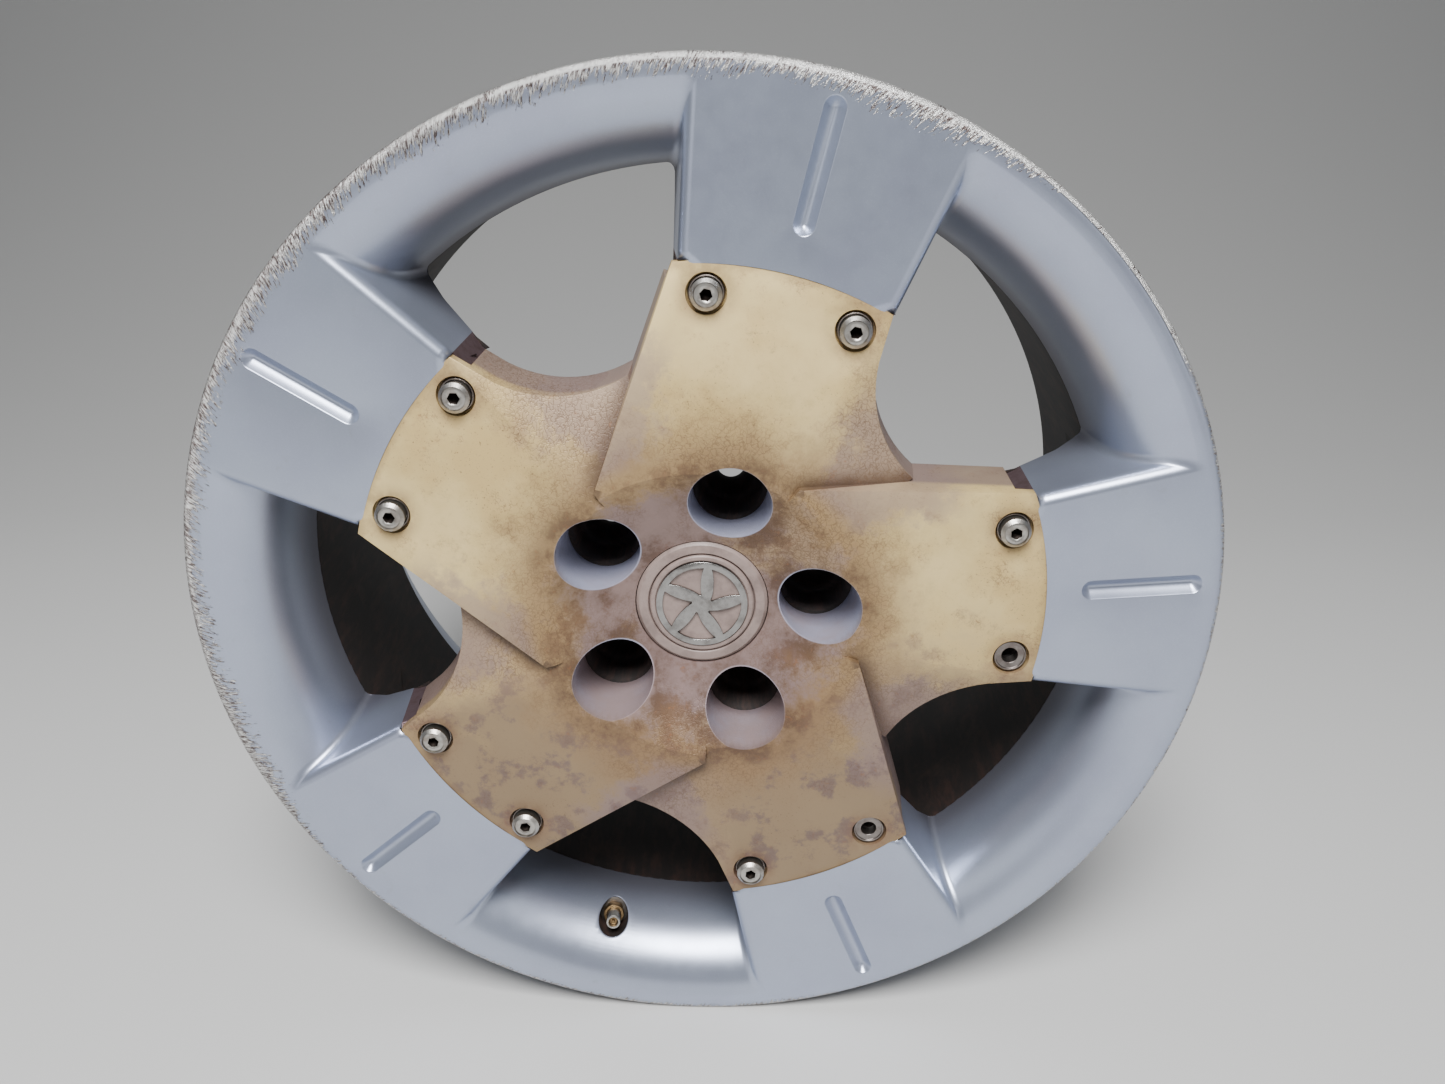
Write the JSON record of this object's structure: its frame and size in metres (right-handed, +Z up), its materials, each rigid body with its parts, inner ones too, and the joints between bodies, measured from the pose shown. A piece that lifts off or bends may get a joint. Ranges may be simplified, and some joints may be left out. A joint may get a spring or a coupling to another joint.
{
  "type": "wheel rim",
  "caption": "Alloy road wheel rim with wide flat spokes, a bolted centre cover with deep lug pockets, a clip-in cap and a clamp-in valve.",
  "frame": {"origin": "on the axle, at the middle of the rim's width", "axes": "+Y along the axle, inboard; the outboard face looks along -Y; +Z up as the wheel is pictured"},
  "size_m": [0.4969, 0.2359, 0.497],
  "materials": {
    "rim_paint": "silver lacquer, worn",
    "cover_paint": "yellowed silver lacquer",
    "collar_steel": "plated",
    "screw_steel": "stainless, weathered",
    "cap_plastic": "faded",
    "emblem_chrome": "chrome, dulled",
    "spring_steel": "plain",
    "stem_chrome": "nickel plated",
    "nut_brass": "tarnished",
    "seal_rubber": "matte",
    "sensor_plastic": "moulded",
    "board_plastic": "circuit board"
  },
  "bodies": {
    "wheel": {"rim": "rim_paint", "centre_cover": "cover_paint", "cover_collars": "collar_steel", "cover_screws": "screw_steel", "cap_body": "cap_plastic", "cap_face": "cap_plastic", "cap_emblem": "emblem_chrome", "cap_spring_ring": "spring_steel", "valve_stem": "stem_chrome", "valve_nut": "nut_brass", "valve_washer": "spring_steel", "valve_grommet": "seal_rubber", "valve_core": "nut_brass", "valve_core_seal": "seal_rubber", "valve_spring": "spring_steel", "sensor_case": "sensor_plastic", "sensor_lid": "sensor_plastic", "sensor_board": "board_plastic", "sensor_battery": "stem_chrome", "sensor_screw": "screw_steel"},
    "valve_pin": {"valve_pin": "nut_brass"}
  },
  "joints": [
    {"name": "valve_pin_slide", "type": "slide", "parent": "wheel", "child": "valve_pin", "axis": [-0.0807, 0.9455, -0.3154], "range_m": [0, 0.001], "stiffness_N_per_m": 600}
  ]
}
